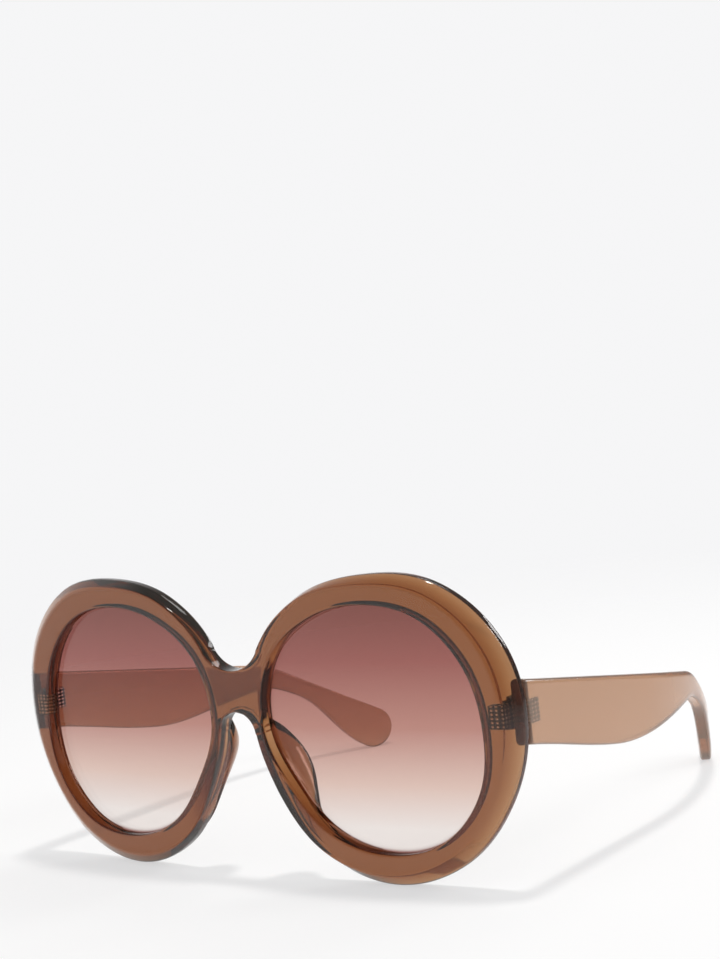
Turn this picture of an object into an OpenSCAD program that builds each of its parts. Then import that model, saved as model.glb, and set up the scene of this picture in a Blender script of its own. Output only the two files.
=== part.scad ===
// Oversized round sunglasses with a moulded front, wide temples and metal barrel hinges.
// The front looks along -Y, the temples run to +Y and the glasses stand on Z = 0, on the two
// rims and the two temple tips. "Left" and "right" are the wearer's: left is +X.

/* [Lenses] */
// Mean radius of a lens opening
lens_r = 29; // [26:0.25:31]
// Gap between the two lens openings at the bridge
lens_gap = 16.2; // [14:0.2:20]
// Thickness of a lens
lens_t = 1.6; // [1.4:0.1:2.2]
// Plastic left behind the groove that holds a lens
lens_seat = 0.7; // [0.4:0.1:1]
// Height of the ridge round a lens that sits in the rim's groove
ridge_h = 0.8; // [0.5:0.1:1]

/* [Front] */
// Width of the rim below the lens
rim_w = 7; // [5:0.25:9]
// Thickness of the front, from its face to its back
front_t = 5; // [4.4:0.1:6.5]
// Radius of the cylinder that the face is wrapped on
wrap_r = 520; // [300:10:900]
// Width of the bevel at the temple side, where it is widest
bevel_w = 4; // [2:0.25:5]
// Depth of the bevel below the face
bevel_d = 2.5; // [1.5:0.1:4.2]
// Height of the bridge's top edge above the lens centres
bridge_top = 13.2; // [10:0.1:16]
// Height of the arch over the nose above the lens centres
bridge_low = 3.2; // [1:0.1:7]

/* [Nose pads] */
// How far a nose pad stands out behind the front
pad_reach = 6.2; // [5:0.2:10]
// Half width of a pad's rounded ridge
pad_r = 1.6; // [1.2:0.1:2]

/* [Temples] */
// Length of a temple along its top edge
temple_len = 138; // [125:1:150]
// Thickness of a temple at the hinge
temple_t = 4.4; // [3.8:0.1:5]
// Thickness of a temple at its tip
tip_t = 3.4; // [3:0.1:4.6]
// Width of the broken edge along a temple
temple_edge = 0.6; // [0.2:0.1:1]
// Height of a temple at the hinge
butt_h = 14.5; // [12:0.1:16]
// Height of a temple at its widest place
broad_h = 16.3; // [14:0.1:20]
// Height of a temple at its neck, over the ear
neck_h = 5; // [4.5:0.1:8]
// Width of the rounded tip
tip_w = 12; // [9:0.1:14]
// Height of the temple's top edge above the lens centre, at the hinge
butt_rise = 10.2; // [9:0.1:12]
// Length of the straight part of a temple, seen from above
straight_len = 54; // [50:1:80]
// Radius on which a temple curves in behind the head, seen from above
curve_r = 134; // [100:1:170]
// Further drop of the tip behind the ear, in degrees
tip_drop = 18; // [14:0.5:25]

/* [Hinges] */
// Number of knuckles in a hinge, shared between its two leaves
knuckles = 5; // [5:2:7]
// Height of a hinge
hinge_h = 6.4; // [6:0.1:8]
// Height of a hinge's middle below the middle of the temple's butt
hinge_drop = 0.6; // [0:0.1:1.5]
// Outside radius of a knuckle
knuckle_r = 1.2; // [1.1:0.05:1.4]
// Radius of the hinge screw's shank
screw_r = 0.66; // [0.5:0.02:0.7]
// Radius of the screw's head
head_r = 1.1; // [0.95:0.05:1.2]
// Height of the screw's head
head_h = 0.7; // [0.5:0.05:1]
// Height of the knurled anchors that are sunk in the plastic
anchor_h = 5.3; // [4.5:0.1:5.8]
// Depth of the front's anchor
front_anchor_d = 3.1; // [2.5:0.1:3.4]
// Width of the front's anchor
front_anchor_w = 3.4; // [2.6:0.1:4]
// Plastic left between the front's anchor and the groove of the lens
anchor_wall = 0.3; // [0.2:0.05:0.6]
// Length of the temple's anchor
temple_anchor_l = 4; // [3:0.1:6]
// Thickness of the temple's anchor
temple_anchor_t = 2.3; // [1.6:0.1:2.6]
// Width of a groove of the knurling
knurl_w = 0.5; // [0.3:0.05:0.6]

/* [Clearances] */
// Play of a lens ridge, a nose pad or an anchor in its seat
seat_gap = 0.04; // [0.02:0.01:0.08]
// Gap between the temple's butt and the back of the front
butt_gap = 0.2; // [0.15:0.05:0.4]
// Radial play of the screw in the knuckles
screw_play = 0.04; // [0.02:0.01:0.08]
// Play between neighbouring knuckles
knuckle_play = 0.08; // [0.05:0.01:0.12]

/* [Hidden] */

// Sides: the wearer's left is +1 and the right is -1
left_side = 1;
right_side = -1;

// Overrun of a cut past the surface that it leaves
cut_over = 0.5;

// Outline of the lens opening: its radius every 30 degrees from the nose upward, as shares of
// the mean radius, the width of the rim round it, as shares of the width below the lens, and the
// width of the bevel, as shares of the widest
lens_shares = [1.035, 1.06, 1.005, 0.98, 1, 0.985, 0.975, 1.03, 1.05, 1.01, 0.98, 0.95];
rim_shares = [0.38, 0.63, 0.88, 0.965, 1.24, 1.4, 1.28, 0.95, 0.97, 1.11, 0.9, 0.61];
bevel_shares = [0, 0.08, 0.2, 0.44, 0.66, 0.85, 0.96, 0.89, 0.85, 0.72, 0.27, 0];

// Value of a closed smooth curve through evenly spaced knots, a whole turn long
function smooth_share(knots, a) =
  let (n = len(knots), u = (a + 360) / 360 * n, i = floor(u), t = u - i)
  let (k0 = knots[(i - 1 + n) % n], k1 = knots[i % n], k2 = knots[(i + 1) % n], k3 = knots[(i + 2) % n])
  k1 + t / 2 * (k2 - k0 + t * (2 * k0 - 5 * k1 + 4 * k2 - k3 + t * (3 * (k1 - k2) + k3 - k0)));

// Radii of the lens opening and of the bare rim in the direction a
function opening_r(a) = lens_r * smooth_share(lens_shares, a);
function rim_r(a) = opening_r(a) + rim_w * smooth_share(rim_shares, a);

// Sideways place of a lens centre, which sets the gap at the bridge
lens_x = lens_gap / 2 + opening_r(0);

// Arcs of the bridge's edges: each touches both rims, over the bridge or under it
nose_r = rim_r(0);
touch_angle = 28;
brow_r = rim_r(touch_angle);
crest_r = (lens_x ^ 2 + bridge_top ^ 2 - brow_r ^ 2) / 2 / (brow_r - bridge_top);
arch_r = (lens_x ^ 2 + bridge_low ^ 2 - nose_r ^ 2) / 2 / (nose_r + bridge_low);
crest_z = bridge_top + crest_r;
arch_z = bridge_low - arch_r;

// Distance from the lens centre to a circle of radius r over the middle of the bridge
function circle_hit(a, z, r) =
  let (b = lens_x * cos(a) + z * sin(a), gap = b ^ 2 - lens_x ^ 2 - z ^ 2 + r ^ 2)
  b - sqrt(max(gap, 0));

// Directions in which the bridge's edges start and end
crest_from = atan2(bridge_top, lens_x);
crest_to = atan2(crest_z, lens_x);
arch_from = atan2(bridge_low, lens_x);
arch_to = atan2(arch_z, lens_x);

// Radius of the front's outline: the rim, the bridge's two arcs, and between them the middle plane
function outline_r(a) =
  a < arch_to || a > crest_to ? rim_r(a) :
  a < arch_from ? circle_hit(a, arch_z, arch_r) :
  a <= crest_from ? lens_x / cos(a) :
  circle_hit(a, crest_z, crest_r);

// Directions round a lens: a few steps over the bridge, then steps that lengthen to the temple side
bridge_steps = 8;
rim_steps = 104;
bunching_share = 0.66;
round_span = 360 - crest_from + arch_from;
function round_angle(t) = crest_from + round_span * (t - bunching_share * sin(360 * t) / 2 / PI);
directions = concat(
  [for (i = [0:bridge_steps - 1]) arch_from + (crest_from - arch_from) * i / bridge_steps],
  [for (i = [0:rim_steps - 1]) let (a = round_angle(i / rim_steps)) a > 270 ? a - 360 : a]);

// Width of the bevel: its share of the widest, brought down to nothing at the bridge over the
// first and the last share of the way round the rim
bevel_end_share = 0.05;
function bevel_at(a) =
  let (share = ((a < crest_from ? a + 360 : a) - crest_from) / round_span)
  let (growth = min(share / bevel_end_share, (1 - share) / bevel_end_share, 1))
  a >= arch_from && a <= crest_from ? 0 : bevel_w * max(smooth_share(bevel_shares, a), 0) * growth;

// Lowest point of a rim, which stands on the table
lens_z = max([for (a = directions) -rim_r(a) * sin(a)]);

// Place of a surface that lies a depth below the wrapped face, at a distance from the middle
function wrap_y(x, deep) = wrap_r - sqrt((wrap_r - deep) ^ 2 - x ^ 2);

// A point of the front in the direction a, at a radius from the lens centre and a depth
function front_point(side, a, r, deep) =
  let (x = lens_x - r * cos(a))
  [side * x, wrap_y(x, deep), lens_z + r * sin(a)];

// Section of the rim as [radius, depth]: face, bevel, back, and the groove for the lens ridge
groove_half = lens_t / 2 + seat_gap;
lens_mid = front_t - lens_seat - groove_half;
function rim_section(a) =
  let (r_in = opening_r(a), r_out = outline_r(a))
  [[r_in, 0], [r_out - bevel_at(a), 0], [r_out, bevel_d], [r_out, front_t], [r_in, front_t],
   [r_in, lens_mid + groove_half], [r_in + ridge_h + seat_gap, lens_mid], [r_in, lens_mid - groove_half]];

// Temple: its middle plane stands flush with the front's end
front_half = max([for (a = directions) lens_x - rim_r(a) * cos(a)]);
temple_x = front_half - temple_t / 2;
temple_in = temple_x - temple_t / 2;
butt_y = wrap_y(temple_x, front_t) + butt_gap;

// Heights and places along the top edge, as shares of the temple's length
broad_share = 0.31;
neck_share = 0.755;
bend_from_share = 0.61;
bend_len_share = 0.08;
round_from = temple_len - tip_w / 2;

// A smooth step from one value to another
function ease(from, to, t) = from + (to - from) * (1 - cos(180 * min(max(t, 0), 1))) / 2;

// Height of the temple at a distance along its top edge
function temple_h(s) =
  let (broad_s = broad_share * temple_len, neck_s = neck_share * temple_len)
  s < broad_s ? ease(butt_h, broad_h, s / broad_s) :
  s < neck_s ? ease(broad_h, neck_h, (s - broad_s) / (neck_s - broad_s)) :
  ease(neck_h, tip_w, (s - neck_s) / (round_from - neck_s));

// Thickness of the temple at a distance along its top edge: it tapers from the widest place on
function temple_thick(s) =
  let (broad_s = broad_share * temple_len)
  temple_t + (tip_t - temple_t) * max(s - broad_s, 0) / (round_from - broad_s);

// Slope of the top edge at a distance along it, for a temple that leaves the hinge at some pitch
function slope_at(s, pitch) =
  let (t = (s / temple_len - bend_from_share) / bend_len_share)
  pitch + tip_drop * min(max(t, 0), 1);

// Points of the top edge as [run, height], summed step by step up to the rounded tip
path_steps = 48;
path_step = round_from / path_steps;
function top_edge(pitch) = [
  for (i = 0, run = 0, rise = 0; i <= path_steps;
       run = run + path_step * cos(slope_at((i + 0.5) * path_step, pitch)),
       rise = rise - path_step * sin(slope_at((i + 0.5) * path_step, pitch)), i = i + 1)
    [run, rise]];

// Middle of the tip's half round
function tip_centre(pitch) =
  let (a = slope_at(temple_len, pitch))
  top_edge(pitch)[path_steps] - [sin(a), cos(a)] * tip_w / 2;

// The pitch at which the tips stand on the same table as the rims, closed in on by turning the
// temple through the angle that it still misses the table by
function standing_pitch(pitch, tries) =
  let (tip = tip_centre(pitch), miss = lens_z + butt_rise + tip[1] - tip_w / 2)
  tries <= 0 ? pitch : standing_pitch(pitch + atan2(miss, tip[0]), tries - 1);
pitch_tries = 6;
pitch = standing_pitch(0, pitch_tries);

// Stations along a temple as [run, height, slope, half height, thickness] of its middle line: a
// lead past the front's back, the blade, and the half round of the tip up to its last narrow end
tip_steps = 8;
tip_end_angle = 84;
temple_stations =
  let (edge = top_edge(pitch), centre = tip_centre(pitch), end_a = slope_at(temple_len, pitch))
  concat(
    [let (drop = butt_h / 2) [-sin(pitch) * drop - temple_t, temple_t * tan(pitch) - cos(pitch) * drop,
      pitch, drop, temple_t]],
    [for (i = [0:path_steps]) let (s = i * path_step, a = slope_at(s, pitch), half = temple_h(s) / 2)
      [edge[i][0] - sin(a) * half, edge[i][1] - cos(a) * half, a, half, temple_thick(s)]],
    [for (i = [1:tip_steps]) let (turn = tip_end_angle * i / tip_steps, along = tip_w / 2 * sin(turn))
      [centre[0] + along * cos(end_a), centre[1] - along * sin(end_a), end_a, tip_w / 2 * cos(turn), tip_t]]);

// Plan of the temple: straight, then an arc, so a run along it is less far back
function bend_angle(run) = max(run - straight_len, 0) / curve_r * 180 / PI;
function plan_back(run) = min(run, straight_len) + curve_r * sin(bend_angle(run));

// A point of the temple at a run along its plan, a height, and a distance out from its middle plane
function temple_point(run, rise, out) =
  [temple_x + out * cos(bend_angle(run)) - curve_r * (1 - cos(bend_angle(run))),
   butt_y + plan_back(run) + out * sin(bend_angle(run)),
   lens_z + butt_rise + rise];

// Section of the temple at a station: a rectangle with broken edges, as points in the part
function temple_section(station) =
  let (half = station[3], slope = station[2], edge = min(temple_edge, half / 2), side = station[4] / 2)
  [for (p = [[side, half - edge], [side - edge, half], [edge - side, half], [-side, half - edge],
             [-side, edge - half], [edge - side, -half], [side - edge, -half], [side, edge - half]])
    temple_point(station[0] + p[1] * sin(slope), station[1] + p[1] * cos(slope), p[0])];
temple_sections = [for (station = temple_stations) temple_section(station)];

// Depth of the whole object, from the bridge's face to the tips
overall_y = max([for (section = temple_sections, p = section) p[1]]);

// Hinge: its axis lies inside the temple, just behind the front
inset_share = 0.75;
hinge_x = temple_in - inset_share * knuckle_r;
hinge_y = wrap_y(hinge_x, front_t) + knuckle_r + butt_gap;
hinge_z = lens_z + butt_rise - butt_h / 2 - hinge_drop;
knuckle_h = hinge_h / knuckles;
bore_r = screw_r + screw_play;

// Nearest edges of the anchors: the front's clears the lens groove, the temple's clears the knuckles
front_anchor_x = lens_x + opening_r(180) + ridge_h + seat_gap + anchor_wall;
front_anchor_y = hinge_y - knuckle_r - front_anchor_d;
temple_anchor_y = hinge_y + knuckle_r + knuckle_play;

// Places the object with its origin under the middle of its box
module in_place() {
  translate([0, -overall_y / 2, 0]) children();
}

// Mirrors what is drawn for the wearer's left to the given side
module on_side(side) {
  in_place() mirror([side < 0 ? 1 : 0, 0, 0]) children();
}

// The moulded front: its section is carried round both lenses and the two halves share the
// points of the bridge's middle plane
module front_moulding() {
  sections = [for (a = directions) rim_section(a)];
  n = len(directions);
  m = len(sections[0]);
  // Points 1 to 3 of a section lie on the middle plane, from the first direction to the crest's
  function on_middle(i, j) = i <= bridge_steps && j >= 1 && j <= 3;
  function index(half, i, j) =
    let (ii = i % n, jj = j % m)
    (half == 0 || on_middle(ii, jj) ? 0 : n * m) + ii * m + jj;
  points = [
    for (side = [right_side, left_side], i = [0:n - 1], p = sections[i])
      front_point(side, directions[i], p[0], p[1])];
  faces = [
    for (half = [0, 1], i = [0:n - 1], j = [0:m - 1])
      if (!(i < bridge_steps && (j == 1 || j == 2)))
        let (a = index(half, i, j), b = index(half, i + 1, j))
        let (c = index(half, i + 1, j + 1), d = index(half, i, j + 1))
        for (tri = half == 0 ? [[a, b, c], [a, c, d]] : [[a, c, b], [a, d, c]]) tri];
  polyhedron(points, faces, convexity = 6);
}

module frame_front() {
  color("peru") difference() {
    in_place() front_moulding();
    for (side = [left_side, right_side]) on_side(side) front_pocket();
  }
}

// Pocket for the front hinge leaf's anchor, open to the back
module front_pocket() {
  translate([front_anchor_x - seat_gap, front_anchor_y - seat_gap, hinge_z - anchor_h / 2 - seat_gap])
    cube([front_anchor_w + 2 * seat_gap, front_anchor_d + butt_gap + cut_over, anchor_h + 2 * seat_gap]);
}

// A lens: two faces on the front's wrap and a ridge round the edge
lens_ring_shares = [0.35, 0.7, 1];
module lens(side) {
  last = len(lens_ring_shares) - 1;
  rows = concat(
    [for (share = lens_ring_shares) [share, 0, -lens_t / 2]],
    [[1, ridge_h, 0]],
    [for (i = [last:-1:0]) [lens_ring_shares[i], 0, lens_t / 2]]);
  n = len(directions);
  m = len(rows);
  points = concat(
    [for (a = directions, row = rows)
      front_point(side, a, (opening_r(a) - seat_gap) * row[0] + row[1], lens_mid + row[2])],
    [front_point(side, 0, 0, lens_mid - lens_t / 2), front_point(side, 0, 0, lens_mid + lens_t / 2)]);
  front_hub = n * m;
  back_hub = n * m + 1;
  faces = concat(
    [for (i = [0:n - 1], j = [0:m - 2])
      let (a = i * m + j, b = (i + 1) % n * m + j)
      for (tri = [[a, b, b + 1], [a, b + 1, a + 1]]) tri],
    [for (i = [0:n - 1]) [front_hub, (i + 1) % n * m, i * m]],
    [for (i = [0:n - 1]) [back_hub, i * m + m - 1, (i + 1) % n * m + m - 1]]);
  in_place() polyhedron(points, side < 0 ? faces : [for (f = faces) [f[0], f[2], f[1]]], convexity = 2);
}

module left_lens() {
  color("rosybrown", 0.6) lens(left_side);
}

module right_lens() {
  color("rosybrown", 0.6) lens(right_side);
}

// A nose pad: a fin lofted along the nose side of the rim, from above the lens centre down and
// round. Its section leans from the rim's edge over to a rounded ridge behind the lens opening
pad_from_angle = 2;
pad_to_angle = -63;
pad_steps = 22;
pad_end_share = 0.06;
pad_bias_share = 0.6;
pad_swell_power = 2;
pad_edge_share = 0.05;
function pad_height(t) =
  pad_reach * (pad_end_share + (1 - pad_end_share) * sin(180 * t ^ pad_bias_share) ^ pad_swell_power);

// Place of a pad's ridge between the lens opening and the rim's outside, as a share of the rim's
// width: a parabola through its shares at the top, the middle and the bottom, held below a limit
pad_ridge_shares = [0.2, 0.07, 1.1];
pad_ridge_limit_share = 0.7;
function pad_ridge(t) =
  let (k = pad_ridge_shares)
  min(k[0] * (1 - t) * (1 - 2 * t) + k[1] * 4 * t * (1 - t) + k[2] * t * (2 * t - 1), pad_ridge_limit_share);

// Points of a pad's section as [share of the ridge radius, share from ridge to foot, share of the height]
pad_section_shares = [
  [0, 1, 0], [0.4, 0.55, 0.5], [0.9, 0, 0.93], [0.35, 0, 1], [-0.35, 0, 1], [-0.9, 0, 0.93], [0, -1, 0]];

module nose_pad() {
  n = pad_steps + 1;
  m = len(pad_section_shares);
  points = [
    for (i = [0:pad_steps])
      let (t = i / pad_steps, a = pad_from_angle + (pad_to_angle - pad_from_angle) * t)
      let (rim = rim_r(a) - opening_r(a), ridge = opening_r(a) + pad_ridge(t) * rim)
      let (foot_out = opening_r(a) + (1 - pad_edge_share) * rim)
      let (foot_in = opening_r(a) + pad_edge_share * rim)
      for (p = pad_section_shares)
        let (foot = p[1] > 0 ? foot_out - ridge : ridge - foot_in)
        front_point(left_side, a, ridge + p[0] * pad_r + p[1] * foot,
                    front_t + seat_gap + p[2] * pad_height(t))];
  sides = [
    for (i = [0:n - 2], j = [0:m - 1])
      let (a = i * m + j, b = i * m + (j + 1) % m, c = b + m, d = a + m)
      for (tri = [[a, d, c], [a, c, b]]) tri];
  top_cap = [for (j = [0:m - 1]) j];
  low_cap = [for (j = [m - 1:-1:0]) (n - 1) * m + j];
  polyhedron(points, concat(sides, [top_cap, low_cap]), convexity = 4);
}

module left_nose_pad() {
  color("peru") on_side(left_side) nose_pad();
}

module right_nose_pad() {
  color("peru") on_side(right_side) nose_pad();
}

// A temple: its blade, cut off along the front's back, with the room for the hinge
module temple() {
  difference() {
    intersection() {
      temple_blade();
      translate([0, wrap_r, 0])
        cylinder(r = wrap_r - front_t - butt_gap, h = 2 * lens_z, $fn = 360);
    }
    translate([hinge_x, hinge_y, hinge_z - hinge_h / 2 - butt_gap])
      cylinder(r = knuckle_r + butt_gap, h = hinge_h + head_h + 2 * butt_gap, $fn = 48);
    temple_pocket();
  }
}

// The blade, lofted through its sections and closed at both ends
module temple_blade() {
  n = len(temple_sections);
  m = len(temple_sections[0]);
  points = [for (section = temple_sections, p = section) p];
  sides = [
    for (i = [0:n - 2], j = [0:m - 1])
      let (a = i * m + j, b = i * m + (j + 1) % m, c = b + m, d = a + m)
      for (tri = [[a, c, d], [a, b, c]]) tri];
  butt_cap = [for (j = [m - 1:-1:0]) j];
  tip_cap = [for (j = [0:m - 1]) (n - 1) * m + j];
  polyhedron(points, concat(sides, [butt_cap, tip_cap]), convexity = 6);
}

// Pocket for the temple leaf's anchor, open to the temple's inner face
module temple_pocket() {
  translate([temple_in - cut_over, hinge_y, hinge_z - anchor_h / 2 - seat_gap])
    cube([cut_over + temple_anchor_t + seat_gap, temple_anchor_y - hinge_y + temple_anchor_l + seat_gap,
          anchor_h + 2 * seat_gap]);
}

module left_temple() {
  color("burlywood") on_side(left_side) temple();
}

module right_temple() {
  color("burlywood") on_side(right_side) temple();
}

// Every second knuckle of a hinge, from the first one that is given
module knuckle_row(first) {
  for (i = [first:2:knuckles - 1])
    translate([0, 0, i * knuckle_h - hinge_h / 2 + knuckle_play / 2])
      linear_extrude(knuckle_h - knuckle_play) children();
}

// An anchor block with knurling grooves down two of its sides, size [across, along, up]
module anchor(size) {
  grooves = floor(size[1] / knurl_w / 2);
  pitch_y = size[1] / grooves;
  difference() {
    translate([0, 0, -size[2] / 2]) cube(size);
    for (i = [0:grooves - 1], z = [-size[2] / 2, size[2] / 2])
      translate([-cut_over, (i + 0.5) * pitch_y, z])
        rotate([45, 0, 0])
          translate([0, -knurl_w / 2, -knurl_w / 2]) cube([size[0] + 2 * cut_over, knurl_w, knurl_w]);
  }
}

// The front's leaf: the outer knuckles, each on a web that stands on the anchor
module front_hinge_leaf() {
  difference() {
    union() {
      translate([hinge_x, hinge_y, hinge_z]) knuckle_row(0) {
        circle(r = knuckle_r, $fn = 48);
        translate([-knuckle_r, -knuckle_r - butt_gap / 2]) square([knuckle_r, knuckle_r + butt_gap / 2]);
      }
      translate([front_anchor_x, front_anchor_y, hinge_z])
        anchor([front_anchor_w, front_anchor_d, anchor_h]);
    }
    hinge_bore();
  }
}

// The temple's leaf: the inner knuckles, each with a web into the anchor in the temple
module temple_hinge_leaf() {
  difference() {
    union() {
      translate([hinge_x, hinge_y, hinge_z]) knuckle_row(1) {
        circle(r = knuckle_r, $fn = 48);
        square([temple_in - hinge_x + temple_anchor_t / 2, knuckle_r + butt_gap]);
      }
      translate([temple_in, temple_anchor_y, hinge_z])
        anchor([temple_anchor_t, temple_anchor_l, anchor_h]);
    }
    hinge_bore();
  }
}

// Bore of all the knuckles
module hinge_bore() {
  translate([hinge_x, hinge_y, hinge_z - hinge_h / 2 - cut_over])
    cylinder(r = bore_r, h = hinge_h + 2 * cut_over, $fn = 48);
}

module left_front_hinge_leaf() {
  color("silver") on_side(left_side) front_hinge_leaf();
}

module right_front_hinge_leaf() {
  color("silver") on_side(right_side) front_hinge_leaf();
}

module left_temple_hinge_leaf() {
  color("silver") on_side(left_side) temple_hinge_leaf();
}

module right_temple_hinge_leaf() {
  color("silver") on_side(right_side) temple_hinge_leaf();
}

// The hinge screw: a slotted head on the top knuckle and a shank through all of them
module hinge_screw() {
  head_z = hinge_z + hinge_h / 2;
  slot_w = head_r / 3;
  difference() {
    union() {
      translate([hinge_x, hinge_y, head_z]) cylinder(r = head_r, h = head_h, $fn = 48);
      translate([hinge_x, hinge_y, hinge_z - hinge_h / 2]) cylinder(r = screw_r, h = hinge_h, $fn = 48);
    }
    translate([hinge_x - head_r - cut_over, hinge_y - slot_w / 2, head_z + head_h / 2])
      cube([2 * (head_r + cut_over), slot_w, head_h]);
  }
}

module left_hinge_screw() {
  color("dimgray") on_side(left_side) hinge_screw();
}

module right_hinge_screw() {
  color("dimgray") on_side(right_side) hinge_screw();
}

frame_front();
left_lens();
right_lens();
left_nose_pad();
right_nose_pad();
left_temple();
right_temple();
left_front_hinge_leaf();
right_front_hinge_leaf();
left_temple_hinge_leaf();
right_temple_hinge_leaf();
left_hinge_screw();
right_hinge_screw();
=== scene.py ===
# %% [markdown]
# Oversized round sunglasses in clear brown plastic: a moulded front with two gradient lenses, and
# two wide temples on metal barrel hinges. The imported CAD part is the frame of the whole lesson:
# it gives every size, and the looks are built over it in the same place. The hinges keep their
# solids from CAD and get a new finish. The plastic pieces are made again with the softly rounded
# edges that a polished moulding has, because a clear plastic shows its shape through its edges.

import bmesh
import bpy
import numpy as np
from mathutils import Matrix, Vector


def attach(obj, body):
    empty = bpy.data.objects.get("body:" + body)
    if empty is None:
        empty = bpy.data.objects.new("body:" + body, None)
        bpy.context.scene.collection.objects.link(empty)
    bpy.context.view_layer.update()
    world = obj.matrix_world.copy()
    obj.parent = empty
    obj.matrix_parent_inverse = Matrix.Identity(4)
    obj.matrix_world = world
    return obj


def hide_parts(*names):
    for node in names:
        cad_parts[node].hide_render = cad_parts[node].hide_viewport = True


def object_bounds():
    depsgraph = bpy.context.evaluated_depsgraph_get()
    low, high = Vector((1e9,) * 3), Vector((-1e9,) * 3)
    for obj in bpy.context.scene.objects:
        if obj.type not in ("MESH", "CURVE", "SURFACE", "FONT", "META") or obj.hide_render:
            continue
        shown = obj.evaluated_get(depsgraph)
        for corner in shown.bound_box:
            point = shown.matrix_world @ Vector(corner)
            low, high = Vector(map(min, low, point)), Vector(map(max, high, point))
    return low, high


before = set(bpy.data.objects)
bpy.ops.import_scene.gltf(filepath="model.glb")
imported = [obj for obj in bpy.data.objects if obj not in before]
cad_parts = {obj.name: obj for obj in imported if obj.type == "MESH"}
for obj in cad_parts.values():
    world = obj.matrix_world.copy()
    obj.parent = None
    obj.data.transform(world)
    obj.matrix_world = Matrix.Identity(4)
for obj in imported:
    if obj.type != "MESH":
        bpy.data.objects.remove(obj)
cad_box = [list(corner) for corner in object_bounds()]
print("CAD box in metres:", cad_box)

# %% [markdown]
# The sizes of the glasses in millimetres, the same ones that the CAD part is made from. A
# surface that is worked out from them lies where the solid is, with nothing to fit by eye. The
# opening, the width of the rim and the width of the bevel are given every 30 degrees round a
# lens, from the nose upward, as shares of one size each.

# %% Sizes
MM = 0.001
# Opening and lens: mean radius, gap between the openings, thickness, ridge, plastic behind it
lens_r, lens_gap, lens_t, ridge_h, lens_seat = 29.0, 16.2, 1.6, 0.8, 0.7
# Front: width of the rim, thickness, radius of the wrap, width and depth of the bevel
rim_w, front_t, wrap_r, bevel_w, bevel_d = 7.0, 5.0, 520.0, 4.0, 2.5
# Bridge: heights of its two edges, and the direction in which the upper one leaves the rim
bridge_top, bridge_low, touch_angle = 13.2, 3.2, 28.0
# Temple: length, thickness at the hinge and at the tip, width of the tip
temple_len, temple_t, tip_t, tip_w = 138.0, 4.4, 3.4, 12.0
# Temple: height at the hinge, at the widest place and at the neck, and rise over the lens centre
butt_h, broad_h, neck_h, butt_rise = 14.5, 16.3, 5.0, 10.2
# Temple from above: straight length and radius behind it; and its drop behind the ear in degrees
straight_len, curve_r, tip_drop = 54.0, 134.0, 18.0
# Clearances: between temple and front, and between lens and groove
butt_gap, seat_gap = 0.2, 0.04
lens_shares = np.array([1.035, 1.06, 1.005, 0.98, 1, 0.985, 0.975, 1.03, 1.05, 1.01, 0.98, 0.95])
rim_shares = np.array([0.38, 0.63, 0.88, 0.965, 1.24, 1.4, 1.28, 0.95, 0.97, 1.11, 0.9, 0.61])
bevel_shares = np.array([0, 0.08, 0.2, 0.44, 0.66, 0.85, 0.96, 0.89, 0.85, 0.72, 0.27, 0])
groove_half = lens_t / 2 + seat_gap
lens_deep = front_t - lens_seat - groove_half
print("front", front_t, "mm thick, lens", 2 * lens_r, "mm wide, temple", temple_len, "mm long")

# %% [markdown]
# The outline of a real frame is drawn once, and the mould is cut to it. It could be traced as a long
# list of points, but then no size could be changed. So a closed smooth curve through twelve shares
# gives the opening, the outside of the rim and the bevel as distances round the lens centre.

# %% Smooth curves


def cubic(knots, t):
    """From knot 1 to knot 2 of four, at a share t of the way: the cubic that passes both, with a
    slope at each that is half the step between that knot's own two neighbours."""
    k0, k1, k2, k3 = knots
    return k1 + t / 2 * (k2 - k0 + t * (2 * k0 - 5 * k1 + 4 * k2 - k3 + t * (3 * (k1 - k2) + k3 - k0)))


def smooth_share(shares, angle):
    """The cubic round a circle, through shares that stand at even angles."""
    count = len(shares)
    place = (np.asarray(angle, float) + 360) / 360 * count
    low = np.floor(place).astype(int)
    return cubic([shares[(low + step) % count] for step in (-1, 0, 1, 2)], place - low)


def opening_r(angle):
    """Radius of the lens opening: the mean radius times its share."""
    return lens_r * smooth_share(lens_shares, angle)


def rim_r(angle):
    """Radius of the rim's outside: the opening plus the width times its share."""
    return opening_r(angle) + rim_w * smooth_share(rim_shares, angle)


print("opening and rim above a lens centre:", round(float(opening_r(90)), 3), round(float(rim_r(90)), 3))

# %% [markdown]
# Places that follow from the sizes. The openings stand a gap apart, and the front rests on the
# lowest points of its rims, which gives the lens centres. The bridge could be drawn freely, but two
# circles make it run smoothly into both rims: one circle stands over the middle plane with its
# lowest point at the bridge's top, the other one hangs below the arch over the nose. Each touches
# the rim from outside, and that fixes its radius.

# %% Lens centres and bridge circles
lens_x = lens_gap / 2 + float(opening_r(0))
nose_r, brow_r = float(rim_r(0)), float(rim_r(touch_angle))
crest_r = (lens_x**2 + bridge_top**2 - brow_r**2) / 2 / (brow_r - bridge_top)
arch_r = (lens_x**2 + bridge_low**2 - nose_r**2) / 2 / (nose_r + bridge_low)
crest_z, arch_z = bridge_top + crest_r, bridge_low - arch_r
crest_from, crest_to = np.degrees(np.arctan2([bridge_top, crest_z], lens_x))
arch_from, arch_to = np.degrees(np.arctan2([bridge_low, arch_z], lens_x))
round_lens = np.arange(-180, 180, 0.25)
lens_z = float((-rim_r(round_lens) * np.sin(np.radians(round_lens))).max())
front_half = float((lens_x - rim_r(round_lens) * np.cos(np.radians(round_lens))).max())
print("lens centres at x", round(lens_x, 3), "z", round(lens_z, 3), "half width", round(front_half, 3))
print("bridge circles of radius", round(crest_r, 3), "above and", round(arch_r, 3), "below")

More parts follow.
